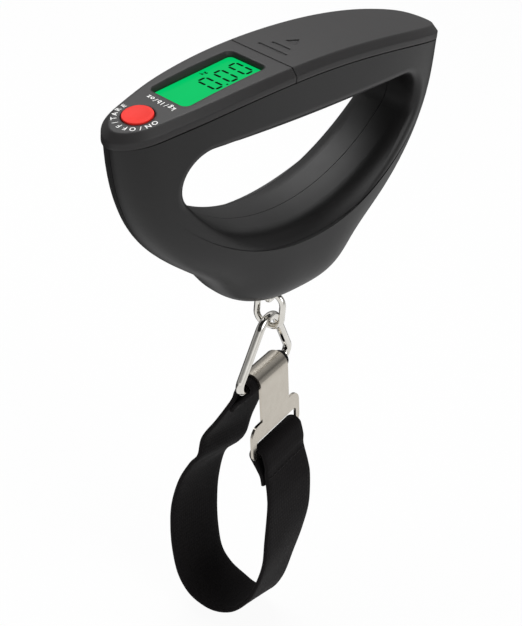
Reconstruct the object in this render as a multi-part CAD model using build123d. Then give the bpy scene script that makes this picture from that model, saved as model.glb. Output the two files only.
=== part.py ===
from build123d import *
import os
from math import asin, atan2, cos, degrees, hypot, pi, radians, sin, sqrt

os.makedirs("parts", exist_ok=True)

# Frame: X runs along the grip (-X is the button end), -Y is the front, +Z is up.
# The origin is the centre of the grip bar, where the hand's pull acts.

# Handle body
nose_length = 70.4          # grip centre to the tip at the button end
tail_length = 66.3          # grip centre to the tip at the battery end
top_half_width = 14.4       # half the depth of the cap
nose_power = 2.6            # plan roundness at the button end (2 is an ellipse)
tail_power = 3.2            # plan roundness at the battery end, blunter
plan_points = 16            # points along each side of the plan outline
crown = 8.5                 # rise of the arched top over its own ends
cap_height = 4.0            # cap, measured square to the arch
cap_bevel = 2.0
cap_plate = 1.8             # thickness of the cap's top
cap_skirt = 2.0             # thickness of the cap's side wall
seam_gap = 0.3              # groove between cap and shells
parting_gap = 0.2           # groove between the two shells
wall = 2.0                  # shell wall
rim_wall = 3.3              # wall beside the grip hole's rolled rim
low_rim_wall = 4.4          # the same, below the hole's ends
hole_end_depth = 20.0       # grip centre down to the hole's ends
rim_wall_start = 8.0        # over the hole, the rim wall begins this far off mid plane
grip_depth = 10.8           # grip centre to the upper edge of the grip hole
hole_depth = 46.7          # grip centre to the lower edge of the grip hole
hole_half_span = 58.5       # half the chord where the hole's two arcs meet
hole_arc = 64.0             # radius of the hole's lower arc
hole_corner = 9.0
rim_roll = 8.5              # radius of the grip hole's rolled rim
rim_plane = 15.8            # mid plane to where the roll turns flat
rim_edge = 2.5              # rounding where the roll meets the sides
crease_depth = 50.8         # grip centre to the lowest point of the pedestal's crease
crease_arc = 74.0

# Side profile of the shells: depth below the grip centre, taper of the button
# end, taper of the battery end, swell of the sides
profile = [
    (-14.0, 0.0, 0.0, 0.0),
    (-4.0, 0.0, 0.0, 0.0),
    (4.0, 0.8, 0.4, 0.3),
    (22.0, 4.8, 2.6, 1.0),
    (37.0, 12.6, 9.8, 1.2),
    (49.0, 24.5, 21.5, 1.2),
    (54.0, 31.2, 28.2, 1.2),
    (58.0, 36.4, 33.4, 1.2),
    (62.0, 40.4, 37.4, 1.0),
    (66.5, 44.4, 41.4, 0.2),
    (69.7, 48.7, 45.7, -1.4),
    (72.2, 54.5, 51.5, -4.4),
    (73.6, 61.5, 58.5, -8.7),
]
crease_lip = 0.4            # how far the pedestal stands proud at the crease
crease_fade = 27.0          # depth at which that lip has run out

# Display
display_x = -33.1
display_size = (30.9, 13.9)
recess_draft = 0.8          # the recess is this much wider at its mouth, each side
recess_corner = 1.6
recess_depth = 2.1
window_lap = 1.8            # window beyond the display, each side
window_thickness = 0.8
frame_wall = 0.9
panel_thickness = 1.8
backlight_thickness = 1.5
layer_gap = 0.1
board_thickness = 1.0
board_drop = 8.2            # outside of the cap to the top of the board
board_clearance = 1.0       # board edge to the shells
board_tail_x = -14.0
board_nose_x = -62.0
contact_strip_size = (28.0, 1.4)

# Power button
button_x = -59.5
button_radius = 4.5
button_proud = 0.4
button_dish = 0.35
button_gap = 0.3
button_flange_radius = 5.4
button_flange = 0.9
stem_radius = 1.5
switch_size = (6.0, 6.0, 2.7)
switch_bore = 2.1
switch_bore_depth = 2.0
stem_reach = 0.5            # stem's engagement in the switch at rest

# Bezel posts and their screws
post_radius = 1.5
post_places = [(-53.5, 6.2), (-20.5, 10.3)]
board_screw_radius = 0.9
board_screw_head = 1.5
board_screw_head_height = 0.9
board_screw_reach = 4.0
thread_clearance = 0.05
lip_thickness = 1.0
lip_reach = 1.6
lip_clearance = 0.15

# Battery bay
split_x = -12.2
split_gap = 0.35
tongue_length = 1.7
tongue_thickness = 1.2
tongue_half_width = 6.0
tongue_gap = 0.3
cell_radius = 5.25
cell_length = 44.5
cell_spacing = 10.6
cell_depth = 1.5            # grip centre down to the cells' axes
cell_start_x = -8.9
cell_tip_radius = 1.9
cell_tip = 0.9
tray_floor = 1.0
tray_wall = 1.2
tray_end = 1.2
tray_depth = 8.6            # height of the tray's side walls
contact_thickness = 0.4
contact_gap = 0.25
contact_half_height = 3.4

# Engraved mark on the battery door
mark_depth = 0.35
mark_long_bar = (-7.3, 11.0)
mark_short_bar = (-3.6, 7.0)
mark_bar_width = 1.0
mark_arrow_base_x = 0.3
mark_arrow_half = 2.1
mark_arrow_length = 4.1

# Shell screws
shell_screws_at = [(-58.6, -14.5), (57.4, -14.5), (-37.0, -45.0), (37.0, -45.0)]
boss_radius = 3.2
shell_screw_radius = 1.2
shell_screw_head = 2.3
shell_screw_head_height = 1.6
shell_screw_seat = 3.0      # mid plane to the seat of the head
shell_screw_reach = 4.5

# Load cell, carried on a shelf in the pedestal
eye_x = 2.5
cell_block = (30.0, 12.0, 8.0)
block_centre_x = -6.0
block_floor = 65.5          # grip centre down to the block's underside
block_hole_radius = 2.6
block_hole_spacing = 6.0
block_slot = 1.4
bracket_size = (8.0, 11.0, 2.0)
shelf_thickness = 2.0
block_screw_radius = 1.5
block_screw_head = 2.6
block_screw_head_height = 1.6
block_screw_spacing = 6.4
block_screw_inset = 4.0
gauge_size = (4.0, 3.0, 0.2)

# Hanging hardware; its plane is turned about the eye's shank
hang_turn = 11.7
eye_wire = 1.0
eye_ring = 2.7
eye_drop = 79.3             # grip centre down to the eye's centre
shank_radius = 1.6
shank_clearance = 0.08
shank_hole_radius = 2.4
shank_head_radius = 3.0
shank_head_height = 1.6
hang_gap = 0.3              # play between one link and the next
link_wire = 1.1
link_half_width = 4.8       # centre line
link_length = 12.6          # centre line, top to bottom
link_corner = 4.0
ring_wire = 1.5
ring_half_base = 17.5       # centre line, before its corners are rounded
ring_height = 28.94
ring_apex_radius = 6.2
ring_corner_radius = 3.0

# Strap and its hook plate
webbing_half_width = 12.5
webbing_thickness = 1.5
webbing_gap = 0.3
hook_half_width = 8.7
hook_thickness = 1.0
hook_lean = 7.5
hook_wrap = 44.0            # the hook stops this far above level, behind the bar
plate_length = 27.5
ear_half_width = 15.4
ear_height = 14.0
ear_corner = 4.2
slot_half_width = 13.1
slot_height = 4.8
slot_bar = 3.0
bar_loop_half_width = 11.8
slot_loop_half_width = 12.4
webbing_tail_half_width = 11.6
strap_leg_lean = 27.0
seam_length = 13.0          # doubled webbing below the ring's bar
tail_overlap = 3            # points of the front rim covered by the sewn tail

# The strap's two rims, from the ring's bar down the rear leg, round the bend
# and up the front leg to the hook plate (across the strap's plane, height)
strap_near = [
    (5.1, -122.6), (10.0, -130.8), (15.0, -140.2), (16.3, -149.0), (19.7, -154.9),
    (23.6, -164.6), (26.0, -177.0), (25.9, -188.4), (24.4, -199.0), (21.4, -209.0),
    (16.6, -215.4), (10.6, -218.0), (4.2, -217.8), (-2.6, -214.0), (-8.5, -206.0),
    (-12.2, -195.6), (-14.2, -184.6), (-14.1, -173.6), (-13.9, -158.5), (-13.2, -152.0),
    (-11.3, -145.0),
]
strap_far = [
    (5.1, -122.6), (7.2, -131.6), (10.2, -142.2), (11.9, -151.0), (14.6, -156.2),
    (20.0, -163.4), (22.1, -176.5), (22.2, -189.5), (20.9, -202.0), (18.6, -212.8),
    (14.2, -219.9), (8.6, -223.3), (1.8, -223.1), (-4.8, -217.8), (-9.6, -207.8),
    (-12.6, -194.6), (-15.4, -182.0), (-16.8, -170.0), (-15.9, -157.5), (-14.4, -151.6),
    (-11.3, -145.0),
]

# ---------------------------------------------------------------------------
# Shared surfaces
# ---------------------------------------------------------------------------

top_radius = (nose_length**2 + crown**2) / (2 * crown)
arch_centre = crown - top_radius
seam_radius = top_radius - cap_height
cell_end_x = cell_start_x + cell_length


def arch_z(x, drop=0.0):
    return arch_centre + sqrt((top_radius - drop) ** 2 - x * x)


def arch_plane(x):
    lean = degrees(asin(x / top_radius))
    return Location((x, 0, arch_z(x)), (0, lean, 0))


def arch_disc(radius):
    disc = Cylinder(radius, 4 * top_half_width)
    return Pos(0, 0, arch_centre) * Rot(90, 0, 0) * disc


def arch_layer(drop_top, drop_bottom):
    return arch_disc(top_radius - drop_top) - arch_disc(top_radius - drop_bottom)


def plan_curve(nose, tail, half_width, tail_round, side):
    def at(turn):
        reach = tail if turn < pi / 2 else -nose
        power = tail_round if turn < pi / 2 else nose_power
        x = reach * abs(cos(turn)) ** (2 / power)
        return (x, side * half_width * abs(sin(turn)) ** (2 / power))

    fine = 400
    dense = [(tail, 0.0)] + [at(pi * i / fine) for i in range(1, fine)] + [(-nose, 0.0)]
    run = [0.0]
    for (xa, ya), (xb, yb) in zip(dense, dense[1:]):
        run.append(run[-1] + hypot(xb - xa, yb - ya))
    points = []
    for i in range(plan_points + 1):
        goal = run[-1] * i / plan_points
        k = min(range(len(run)), key=lambda j: abs(run[j] - goal))
        points.append(dense[k])
    return points


def plan_face(z, nose, tail, half_width, tail_round):
    near = plan_curve(nose, tail, half_width, tail_round, -1)
    far = plan_curve(nose, tail, half_width, tail_round, 1)
    ring = near + list(reversed(far))[1:-1]
    outline = Spline(*[(x, y, z) for x, y in ring], periodic=True)
    return Face(Wire([outline.edge()]))


def cap_prism(inset):
    base = plan_face(
        -top_half_width,
        nose_length - inset,
        tail_length - inset,
        top_half_width - inset,
        tail_power,
    )
    return extrude(base, 3 * top_half_width, dir=(0, 0, 1))


def body_loft(inset, lip=0.0):
    faces = []
    for depth, nose_taper, tail_taper, swell in reversed(profile):
        rise = lip * min(1.0, (depth - crease_fade) / (crease_depth - crease_fade))
        grow = rise - inset
        faces.append(
            plan_face(
                -depth,
                nose_length - nose_taper + grow,
                tail_length - tail_taper + grow,
                top_half_width + swell + grow,
                tail_power,
            )
        )
    return loft(faces)


def box_between(x0, x1, y0, y1, z0, z1):
    block = Box(x1 - x0, y1 - y0, z1 - z0)
    return Pos((x0 + x1) / 2, (y0 + y1) / 2, (z0 + z1) / 2) * block


def hole_prism(grow, depth):
    rise = hole_arc - sqrt(hole_arc**2 - hole_half_span**2)
    sag = hole_depth - rise - grip_depth
    upper_arc = (hole_half_span**2 + sag**2) / (2 * abs(sag))
    low_centre = hole_arc - hole_depth
    high_centre = upper_arc - grip_depth
    low_radius = hole_arc + grow
    high_radius = upper_arc - grow
    meet = low_radius**2 - high_radius**2 + high_centre**2 - low_centre**2
    meet_z = meet / (2 * (high_centre - low_centre))
    meet_x = sqrt(low_radius**2 - (meet_z - low_centre) ** 2)
    left, right = (-meet_x, meet_z), (meet_x, meet_z)
    upper = ThreePointArc(left, (0, high_centre - high_radius), right)
    lower = ThreePointArc(right, (0, low_centre - low_radius), left)
    outline = make_face([upper, lower])
    outline = fillet(outline.vertices(), hole_corner + grow)
    return extrude(Plane.XZ * outline, depth, both=True)


def rolled_hole():
    plate = Pos(0, 0, -hole_depth) * Box(4 * nose_length, 2 * rim_plane, 3 * hole_depth)
    holed = plate - hole_prism(0, 2 * rim_plane)
    corners = [e for e in holed.edges() if abs(e.center().X) < nose_length]
    rim = [e for e in corners if e.bounding_box().size.Y < layer_gap]
    rim = [e for e in rim if abs(e.center().Z + hole_depth) < hole_depth]
    flare = hole_prism(rim_roll, 2 * rim_plane) - Box(4 * nose_length, 2 * rim_plane, 6 * hole_depth)
    return (plate - fillet(rim, rim_roll)) + flare


def hole_mouth(solid):
    edges = []
    for edge in solid.edges():
        box = edge.bounding_box()
        sides = (box.min.Y, box.max.Y)
        off_plane = sides[0] * sides[1] > 0 and min(abs(y) for y in sides) > rim_plane - 0.7 * rim_roll
        level = box.min.Z > -hole_depth - rim_roll and box.max.Z < -grip_depth + rim_roll
        if off_plane and level and abs(edge.center().X) < hole_half_span:
            edges.append(edge)
    return edges


def y_cylinder(x, z, radius, y0, y1):
    rod = Cylinder(radius, y1 - y0)
    return Pos(x, (y0 + y1) / 2, z) * Rot(90, 0, 0) * rod


def z_cylinder(x, y, radius, z0, z1):
    return Pos(x, y, (z0 + z1) / 2) * Cylinder(radius, z1 - z0)


def plate_between(width, height, corner, z0, z1):
    outline = RectangleRounded(width, height, corner)
    return extrude(Plane.XY.offset(z0) * outline, z1 - z0)


# ---------------------------------------------------------------------------
# Shells
# ---------------------------------------------------------------------------

shell_top = arch_disc(seam_radius - seam_gap)
rolled = rolled_hole()
body = (body_loft(0) & shell_top) - rolled
body = fillet(hole_mouth(body), rim_edge)

crease = Pos(0, 0, crease_arc - crease_depth) * Rot(90, 0, 0)
crease = crease * Cylinder(crease_arc, 6 * top_half_width)
pedestal = (body_loft(0, crease_lip) & shell_top) - crease
body = body + pedestal

cavity = body_loft(wall)
cavity = cavity - box_between(-nose_length, tail_length, -40, 40, -90, wall - profile[-1][0])
bay = box_between(-nose_length, cell_end_x + 4, -rim_wall_start, rim_wall_start, -grip_depth - 2, 20)
bay = bay & box_between(-cell_end_x - 4, cell_end_x + 4, -40, 40, -90, 20)
rim_zone = hole_prism(rim_wall, 3 * top_half_width) - (bay - hole_prism(wall, rim_wall_start))
low_zone = hole_prism(low_rim_wall, 3 * top_half_width)
low_zone = low_zone & box_between(-90, 90, -40, 40, -90, -hole_end_depth)
cavity = cavity - rim_zone - low_zone

shelf_top = -block_floor - bracket_size[2]
shelf = box_between(
    block_centre_x - cell_block[0] / 2 - 1,
    block_centre_x - cell_block[0] / 2 + bracket_size[0] + 1,
    -20,
    20,
    shelf_top - shelf_thickness,
    shelf_top,
)
cavity = cavity - shelf
for x, z in shell_screws_at:
    cavity = cavity - y_cylinder(x, z, boss_radius, -30, 30)

shells = body - cavity
shells = shells - z_cylinder(eye_x, 0, shank_hole_radius, -90, -60)
rear_half = box_between(-90, 90, parting_gap / 2, 40, -90, 20)
front_half = box_between(-90, 90, -40, -parting_gap / 2, -90, 20)
front_shell = shells & front_half
rear_shell = shells & rear_half
for x, z in shell_screws_at:
    pilot = shell_screw_radius + thread_clearance
    bore_end = shell_screw_seat - shell_screw_reach - 1
    rear_shell = rear_shell - y_cylinder(x, z, pilot, -1, 10)
    rear_shell = rear_shell - y_cylinder(x, z, shell_screw_head + 0.3, shell_screw_seat, 30)
    front_shell = front_shell - y_cylinder(x, z, pilot, bore_end, 1)
    bridge = y_cylinder(x, z, boss_radius, -parting_gap / 2, parting_gap / 2)
    rear_shell = rear_shell + (bridge - y_cylinder(x, z, pilot, -1, 1))

shell_screws = []
for x, z in shell_screws_at:
    seat = shell_screw_seat
    head = y_cylinder(x, z, shell_screw_head, seat, seat + shell_screw_head_height)
    shank = y_cylinder(x, z, shell_screw_radius, seat - shell_screw_reach, seat)
    shell_screws.append(head + shank)

# ---------------------------------------------------------------------------
# Cap: display bezel and battery door
# ---------------------------------------------------------------------------

cap = cap_prism(0) & arch_layer(0, cap_height)
top_edges = sorted(cap.edges(), key=lambda e: -e.center().Z)
cap = chamfer(top_edges[:1], cap_bevel)
cap = cap - (cap_prism(cap_skirt) & arch_layer(cap_plate, cap_height + 1))


bezel_half = box_between(-90, split_x - split_gap / 2, -40, 40, -90, 40)
door_half = box_between(split_x + split_gap / 2, 90, -40, 40, -90, 40)
display_bezel = cap & bezel_half
battery_door = cap & door_half

display_at = arch_plane(display_x)
button_at = arch_plane(button_x)

mouth = RectangleRounded(
    display_size[0] + 2 * recess_draft,
    display_size[1] + 2 * recess_draft,
    recess_corner + recess_draft,
)
floor = RectangleRounded(display_size[0], display_size[1], recess_corner)
recess = loft([Plane.XY * mouth, Plane.XY.offset(-recess_depth) * floor])
recess = recess + extrude(Plane.XY * mouth, 2)
recess_foot = plate_between(
    display_size[0],
    display_size[1],
    recess_corner,
    -recess_depth - 2,
    -recess_depth,
)
recess = recess + recess_foot
window_size = (display_size[0] + 2 * window_lap, display_size[1] + 2 * window_lap)
frame_size = (window_size[0] + 2 * frame_wall, window_size[1] + 2 * frame_wall)
frame_drop = recess_depth + window_thickness
frame = plate_between(frame_size[0], frame_size[1], recess_corner, -frame_drop, -cap_plate + 0.4)
pocket = plate_between(window_size[0], window_size[1], recess_corner, -frame_drop - 1, -recess_depth)
hidden = cap_prism(cap_skirt / 2)
display_bezel = display_bezel + (display_at * frame & hidden & bezel_half)
display_bezel = display_bezel - display_at * recess - display_at * pocket

posts = []
for x, y in post_places:
    for side in (-1, 1):
        spot = (x - display_x, side * y)
        posts.append((spot[0], spot[1]))
        post = z_cylinder(spot[0], spot[1], post_radius, -board_drop, -cap_plate + 0.3)
        display_bezel = display_bezel + display_at * post
button_hole = Cylinder(button_radius + button_gap, 3 * cap_height)
display_bezel = display_bezel - button_at * button_hole

lip = body_loft(wall + lip_clearance) - body_loft(wall + lip_clearance + lip_thickness)
lip = lip & arch_layer(cap_plate, cap_height + seam_gap + lip_reach)
lip = lip & box_between(-90, split_x - 1, -40, 40, -90, 40)
stack_room = plate_between(window_size[0], window_size[1], 0.5, -board_drop, -recess_depth)
display_bezel = display_bezel + (lip - display_at * stack_room)
pilot_top = board_screw_reach - board_thickness - board_drop + 0.5
for px, py in posts:
    pilot = z_cylinder(px, py, board_screw_radius + thread_clearance, -board_drop - 1, pilot_top)
    display_bezel = display_bezel - display_at * pilot

tongue = arch_layer(cap_plate + tongue_gap, cap_plate + tongue_gap + tongue_thickness)
tongue_end = split_x - tongue_length
tongue = tongue & box_between(tongue_end, split_x + 2, -tongue_half_width, tongue_half_width, -90, 40)
root = arch_layer(cap_plate - 0.2, cap_plate + tongue_gap + tongue_thickness)
root_start = split_x + split_gap / 2
root = root & box_between(root_start, split_x + 2, -tongue_half_width, tongue_half_width, -90, 40)
battery_door = battery_door + tongue + root

long_x, long_bar = mark_long_bar
short_x, short_bar = mark_short_bar
mark = Pos(long_x, 0) * Rectangle(mark_bar_width, long_bar)
mark = mark + Pos(short_x, 0) * Rectangle(mark_bar_width, short_bar)
arrow = Polyline(
    (mark_arrow_base_x, mark_arrow_half),
    (mark_arrow_base_x, -mark_arrow_half),
    (mark_arrow_base_x + mark_arrow_length, 0),
    close=True,
)
mark = mark + make_face(arrow)
mark_cut = extrude(mark, 30) & arch_layer(-2, mark_depth)
battery_door = battery_door - mark_cut

# ---------------------------------------------------------------------------
# Display stack and main board, laid parallel to the cap at the display
# ---------------------------------------------------------------------------

play = 0.1
window_top = -recess_depth
lcd_window = display_at * plate_between(
    window_size[0] - 2 * play,
    window_size[1] - 2 * play,
    recess_corner,
    window_top - window_thickness,
    window_top,
)
panel_top = window_top - window_thickness - layer_gap
lcd_panel = display_at * plate_between(
    window_size[0] - 2 * play, window_size[1] - 2 * play, 0.5, panel_top - panel_thickness, panel_top
)
light_top = panel_top - panel_thickness - layer_gap
backlight_panel = display_at * plate_between(
    window_size[0] - 2 * play,
    window_size[1] - 2 * contact_strip_size[1] - 1.0,
    0.5,
    light_top - backlight_thickness,
    light_top,
)
strip_y = window_size[1] / 2 - contact_strip_size[1] / 2 - 2 * play
strip_half = contact_strip_size[0] / 2
lcd_contact_strip = display_at * box_between(
    -strip_half,
    strip_half,
    strip_y - contact_strip_size[1] / 2,
    strip_y + contact_strip_size[1] / 2,
    -board_drop,
    panel_top - panel_thickness,
)

board_slab = box_between(
    board_nose_x - display_x,
    board_tail_x - display_x,
    -20,
    20,
    -board_drop - board_thickness,
    -board_drop,
)
board_outline = cap_prism(wall + board_clearance) & box_between(-90, 90, -40, 40, -14, 14)
main_board = display_at * board_slab & board_outline
board_screws = []
for px, py in posts:
    hole = z_cylinder(px, py, board_screw_radius + thread_clearance, -board_drop - 3, -board_drop + 1)
    main_board = main_board - display_at * hole
    low = -board_drop - board_thickness
    head = z_cylinder(px, py, board_screw_head, low - board_screw_head_height, low)
    shank = z_cylinder(px, py, board_screw_radius, low, low + board_screw_reach)
    board_screws.append(display_at * (head + shank))

beeper = z_cylinder(6.0, 0, 4.5, -board_drop - board_thickness - 2.2, -board_drop - board_thickness)
beeper = beeper - z_cylinder(6.0, 0, 0.8, -20, -board_drop - board_thickness - 1.2)
beeper = display_at * beeper

# Power button over its switch
flange_top = -cap_plate - button_gap
button_local = z_cylinder(0, 0, button_radius, flange_top - button_flange, button_proud)
rim_edge = button_local.edges().sort_by(Axis.Z)[-1]
button_local = fillet(rim_edge, 0.25)
dish_radius = (button_radius**2 * 0.64 + button_dish**2) / (2 * button_dish)
dish = Pos(0, 0, button_proud - button_dish + dish_radius) * Sphere(dish_radius)
button_local = button_local - dish
flange = z_cylinder(0, 0, button_flange_radius, flange_top - button_flange, flange_top)
button_local = button_local + flange

# The button's axis, seen in the display's frame, meets the top of the switch
lean_display = asin(display_x / top_radius)
lean_button = asin(button_x / top_radius)
step_x = button_x - display_x
step_z = arch_z(button_x) - arch_z(display_x)
start_u = step_x * cos(lean_display) - step_z * sin(lean_display)
start_w = step_x * sin(lean_display) + step_z * cos(lean_display)
turn = lean_button - lean_display
switch_top = -board_drop + switch_size[2]
stem_run = (start_w - switch_top) / cos(turn)
switch_u = start_u - stem_run * sin(turn)
switch_half = (switch_size[0] / 2, switch_size[1] / 2)
tact_switch = box_between(
    switch_u - switch_half[0],
    switch_u + switch_half[0],
    -switch_half[1],
    switch_half[1],
    -board_drop,
    switch_top,
)
bore = z_cylinder(switch_u, 0, switch_bore, switch_top - switch_bore_depth, switch_top + 1)
tact_switch = display_at * (tact_switch - bore)
stem = z_cylinder(0, 0, stem_radius, -stem_run - stem_reach, flange_top - button_flange)
power_button = button_at * (button_local + stem)

# ---------------------------------------------------------------------------
# Battery bay: tray, two cells side by side, spring contacts
# ---------------------------------------------------------------------------

cell_y = cell_spacing / 2
tray_x0 = cell_start_x - contact_gap - contact_thickness - tray_end
tray_x1 = cell_end_x + contact_gap + contact_thickness + tray_end
tray_half = cell_y + cell_radius + 0.1 + tray_wall - 0.95
tray_bottom = -cell_depth - cell_radius - tray_floor
tray_step = tray_bottom + 1.25
tray_keel = rim_wall_start - 0.15
cells = []
for side, facing in ((-1, 1), (1, -1)):
    can_length = cell_length - cell_tip
    x0 = cell_start_x if facing > 0 else cell_start_x + cell_tip
    can = Pos(x0 + can_length / 2, side * cell_y, -cell_depth) * Rot(0, 90, 0)
    can = can * Cylinder(cell_radius, can_length)
    tip_x = x0 + can_length if facing > 0 else cell_start_x
    tip = Pos(tip_x + cell_tip / 2, side * cell_y, -cell_depth) * Rot(0, 90, 0)
    tip = tip * Cylinder(cell_tip_radius, cell_tip)
    cells.append(fillet(can.edges().filter_by(GeomType.CIRCLE), 0.4) + tip)

tray = box_between(tray_x0, tray_x1, -tray_half, tray_half, tray_step, tray_bottom + tray_depth)
tray = tray + box_between(tray_x0, tray_x1, -tray_keel, tray_keel, tray_bottom, tray_step)
tray_inner_x0 = tray_x0 + tray_end
tray_inner_x1 = tray_x1 - tray_end
cut_length = tray_inner_x1 - tray_inner_x0
for side in (-1, 1):
    groove = Pos((tray_inner_x0 + tray_inner_x1) / 2, side * cell_y, -cell_depth) * Rot(0, 90, 0)
    tray = tray - groove * Cylinder(cell_radius + play, cut_length)
tray = tray - box_between(
    tray_inner_x0, tray_inner_x1, -cell_y - cell_radius - play, cell_y + cell_radius + play, -cell_depth, 20
)
contacts = []
contact_low = -cell_depth - contact_half_height
contact_high = -cell_depth + contact_half_height
contact_half = cell_y + contact_half_height - 0.2
for x0 in (tray_inner_x0, tray_inner_x1 - contact_thickness):
    strip = box_between(x0, x0 + contact_thickness, -contact_half, contact_half, contact_low, contact_high)
    contacts.append(strip)
    tray = tray - strip
battery_tray = tray

# ---------------------------------------------------------------------------
# Load cell with its bracket, gauges and screws
# ---------------------------------------------------------------------------

block_x0 = block_centre_x - cell_block[0] / 2
block_x1 = block_centre_x + cell_block[0] / 2
block_top = -block_floor + cell_block[2]
half_deep = cell_block[1] / 2
load_cell = box_between(block_x0, block_x1, -half_deep, half_deep, -block_floor, block_top)
block_mid = (block_top - block_floor) / 2
for side in (-1, 1):
    x = block_centre_x + side * block_hole_spacing / 2
    load_cell = load_cell - y_cylinder(x, block_mid, block_hole_radius, -20, 20)
load_cell = load_cell - box_between(
    block_centre_x - block_hole_spacing / 2,
    block_centre_x + block_hole_spacing / 2,
    -20,
    20,
    block_mid - block_slot / 2,
    block_mid + block_slot / 2,
)
load_cell = load_cell - z_cylinder(eye_x, 0, shank_radius + shank_clearance, -90, 0)
screw_x = block_x0 + block_screw_inset
load_cell_screws = []
bracket_x1 = block_x0 + bracket_size[0]
bracket_half = bracket_size[1] / 2
load_cell_bracket = box_between(
    block_x0, bracket_x1, -bracket_half, bracket_half, -block_floor - bracket_size[2], -block_floor
)
for side in (-1, 1):
    y = side * block_screw_spacing / 2
    load_cell = load_cell - z_cylinder(screw_x, y, block_screw_radius + thread_clearance, -90, 0)
    load_cell_bracket = load_cell_bracket - z_cylinder(
        screw_x, y, block_screw_radius + thread_clearance, -90, 0
    )
    head = z_cylinder(screw_x, y, block_screw_head, block_top, block_top + block_screw_head_height)
    shank = z_cylinder(screw_x, y, block_screw_radius, -block_floor - bracket_size[2] + 0.2, block_top)
    load_cell_screws.append(head + shank)
gauges = []
for z0 in (block_top, -block_floor - gauge_size[2]):
    for side in (-1, 1):
        x = block_centre_x + side * block_hole_spacing / 2
        gauges.append(
            box_between(
                x - gauge_size[0] / 2,
                x + gauge_size[0] / 2,
                -gauge_size[1] / 2,
                gauge_size[1] / 2,
                z0,
                z0 + gauge_size[2],
            )
        )

# ---------------------------------------------------------------------------
# Hanging hardware: eye, link and triangle ring
# ---------------------------------------------------------------------------

hang = Location((eye_x, 0, 0), (0, 0, hang_turn))


def ring_wire_solid(path, radius):
    start = path @ 0
    heading = path % 0
    section = Plane(origin=start, z_dir=heading) * Circle(radius)
    return sweep(section, path=path)


def rounded_loop(points, radii):
    loop = Polyline(*points, close=True)
    face = make_face(loop)
    for point, radius in zip(points, radii):
        corner = min(face.vertices(), key=lambda v: (v.center() - Vector(*point)).length)
        face = fillet(corner, radius)
    return face.faces()[0].outer_wire()


eye_ring_solid = Pos(0, 0, -eye_drop) * Rot(90, 0, 0) * Torus(eye_ring, eye_wire)
head_low = block_top + hang_gap
neck_low = -eye_drop + eye_ring
shank = z_cylinder(0, 0, shank_radius, neck_low, head_low)
shank_head = z_cylinder(0, 0, shank_head_radius, head_low, head_low + shank_head_height)
load_eye = hang * (eye_ring_solid + shank + shank_head)

link_top = -eye_drop - eye_ring + eye_wire + hang_gap + link_wire
link_low = link_top - link_length
link_path = rounded_loop(
    [
        (-link_half_width, link_top),
        (link_half_width, link_top),
        (link_half_width, link_low),
        (-link_half_width, link_low),
    ],
    [link_corner] * 4,
)
oval_link = hang * ring_wire_solid(Plane.YZ * link_path, link_wire)

apex_half = atan2(ring_half_base, ring_height)
apex_drop = ring_apex_radius * (1 / sin(apex_half) - 1)
apex_top = link_low + link_wire + hang_gap + ring_wire
ring_peak = apex_top + apex_drop
ring_low = ring_peak - ring_height
ring_path = rounded_loop(
    [(0, ring_peak), (ring_half_base, ring_low), (-ring_half_base, ring_low)],
    [ring_apex_radius, ring_corner_radius, ring_corner_radius],
)
triangle_ring = hang * ring_wire_solid(Plane.XZ * ring_path, ring_wire)

# ---------------------------------------------------------------------------
# Strap and hook plate
# ---------------------------------------------------------------------------


def rim_face(points, x, low, high):
    outer, inner = [], []
    last = len(points) - 1
    for i, (y, z) in enumerate(points):
        ya, za = points[max(i - 1, 0)]
        yb, zb = points[min(i + 1, last)]
        size = hypot(yb - ya, zb - za)
        ny, nz = -(zb - za) / size, (yb - ya) / size
        outer.append((x, y + ny * high, z + nz * high))
        inner.append((x, y + ny * low, z + nz * low))
    inner.reverse()
    out_edge = Spline(*outer)
    in_edge = Spline(*inner)
    sides = [Line(outer[-1], inner[0]), Line(inner[-1], outer[0])]
    return Face(Wire([out_edge.edge(), sides[0].edge(), in_edge.edge(), sides[1].edge()]))


def webbing_band(near, far, low, high, half_width):
    return loft([rim_face(near, -half_width, low, high), rim_face(far, half_width, low, high)], ruled=True)


def webbing_loop(pin_radius, length, half_width):
    inner = pin_radius + webbing_gap
    outer = inner + webbing_thickness
    tip = Pos(0, -length) * Rectangle(2 * webbing_thickness, 1.0)
    skin = make_hull((Circle(outer) + tip).edges())
    eye = make_hull((Circle(inner) + Pos(0, -length + 3 * inner) * Circle(0.2)).edges())
    return extrude(Plane.YZ * (skin - eye), half_width, both=True)


bar_at = Location((0, 0, ring_low))
half_webbing = webbing_thickness / 2
loop_length = 9.0
bar_loop = webbing_loop(ring_wire, loop_length, bar_loop_half_width)
seam_block = box_between(
    -bar_loop_half_width,
    bar_loop_half_width,
    -webbing_thickness,
    webbing_thickness,
    -seam_length,
    -loop_length,
)
upper_loop = bar_at * Rot(strap_leg_lean, 0, 0) * (bar_loop + seam_block)

hook_inner = ring_wire + webbing_gap + webbing_thickness + webbing_gap
hook_outer = hook_inner + hook_thickness
hook_at = bar_at * Rot(-hook_lean, 0, 0)
roll = Circle(hook_outer) - Circle(hook_inner)
wrap = radians(hook_wrap)
far_out = 2 * hook_outer
gap_wedge = Polyline(
    (0, 0),
    (-far_out, 0),
    (-far_out, -far_out),
    (far_out, -far_out),
    (far_out * cos(wrap), far_out * sin(wrap)),
    close=True,
)
roll = roll - make_face(gap_wedge)
roll = extrude(Plane.YZ * roll, hook_half_width, both=True)
ear_top = -plate_length + ear_height
neck = Pos(0, ear_top / 2) * Rectangle(2 * hook_half_width, -ear_top)
ears = Pos(0, ear_top - ear_height / 2) * RectangleRounded(2 * ear_half_width, ear_height, ear_corner)
outline = neck + ears
slot_z = -plate_length + slot_bar + slot_height / 2
outline = outline - Pos(0, slot_z) * RectangleRounded(2 * slot_half_width, slot_height, 1.2)
plate = extrude(Plane.XZ * outline, hook_thickness)
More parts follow.
